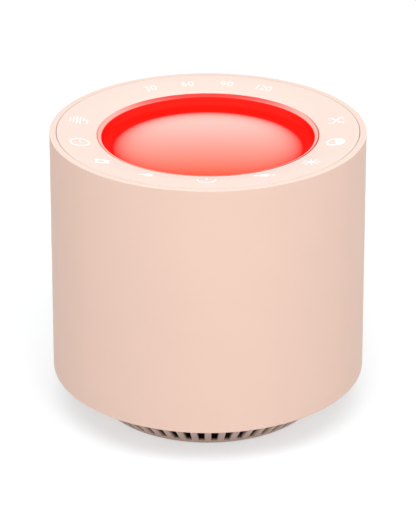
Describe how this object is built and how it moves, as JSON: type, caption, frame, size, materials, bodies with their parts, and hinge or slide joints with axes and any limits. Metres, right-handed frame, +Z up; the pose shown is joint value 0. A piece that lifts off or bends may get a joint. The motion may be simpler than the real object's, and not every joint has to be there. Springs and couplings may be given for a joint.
{
  "type": "white noise sound machine",
  "caption": "Small upright drum-shaped bedside sound machine with a glowing dish and a ring of touch signs on top, over a slotted speaker foot.",
  "frame": {"origin": "centre of the face that it stands on", "axes": "+Z up along the drum, the front is -Y, +X is to the right seen from the front, the power socket is at +Y"},
  "size_m": [0.1, 0.1, 0.092],
  "materials": {
    "shell_plastic": "satin",
    "ring_plastic": "satin",
    "diffuser_plastic": "translucent, lit from behind",
    "white_plastic": "matte",
    "tape": "double-sided foam tape",
    "white_board": "white solder mask",
    "green_board": "green solder mask",
    "chip_black": "matte",
    "lamp": "clear over white",
    "ferrite": "sintered",
    "can_aluminium": "brushed",
    "zinc_screws": "zinc plated",
    "lead_sleeve": "matte",
    "socket_steel": "plated",
    "basket_steel": "satin",
    "plated_steel": "zinc plated",
    "black_plastic": "matte",
    "foam": "foam",
    "rubber": "matte",
    "terminal_brass": "tinned",
    "spider_cloth": "woven",
    "cone_paper": "matte",
    "former_foil": "satin",
    "coil_copper": "lacquered"
  },
  "bodies": {
    "cabinet": {"outer_shell": "shell_plastic", "control_ring": "ring_plastic", "ring_adhesive": "tape", "light_diffuser": "diffuser_plastic", "touch_board": "green_board", "touch_chip": "chip_black", "timer_leds": "lamp", "light_cup": "white_plastic", "cup_screws": "zinc_screws", "led_board": "white_board", "light_leds": "lamp", "led_board_screws": "zinc_screws", "touch_lead": "lead_sleeve", "led_lead": "lead_sleeve", "main_board": "green_board", "controller_chip": "chip_black", "sound_memory": "chip_black", "amplifier_chip": "chip_black", "filter_coil": "ferrite", "capacitors": "can_aluminium", "board_sockets": "white_plastic", "lead_plugs": "white_plastic", "main_board_screws": "zinc_screws", "power_board": "green_board", "usb_c_shell": "socket_steel", "usb_c_tongue": "chip_black", "power_board_screws": "zinc_screws", "power_lead": "lead_sleeve", "speaker_chamber": "black_plastic", "chamber_gasket": "foam", "chamber_screws": "zinc_screws", "lead_grommet": "rubber", "speaker_lead": "lead_sleeve", "speaker_basket": "basket_steel", "speaker_gasket": "foam", "speaker_top_plate": "plated_steel", "speaker_magnet": "ferrite", "speaker_yoke": "plated_steel", "speaker_terminals": "terminal_brass", "speaker_screws": "zinc_screws", "cone_surround": "rubber", "centring_spider": "spider_cloth", "bottom_cover": "black_plastic", "cover_screws": "zinc_screws", "foot_grille": "shell_plastic", "foot_screws": "zinc_screws", "rubber_foot": "rubber"},
    "cone": {"speaker_cone": "cone_paper", "dust_cap": "cone_paper", "coil_former": "former_foil", "voice_coil": "coil_copper"}
  },
  "joints": [
    {"name": "cone_travel", "type": "slide", "parent": "cabinet", "child": "cone", "axis": [0, 0, 1], "range_m": [-0.0015, 0.0015], "stiffness_N_per_m": 1200, "deforming": ["cone_surround", "centring_spider"]}
  ]
}
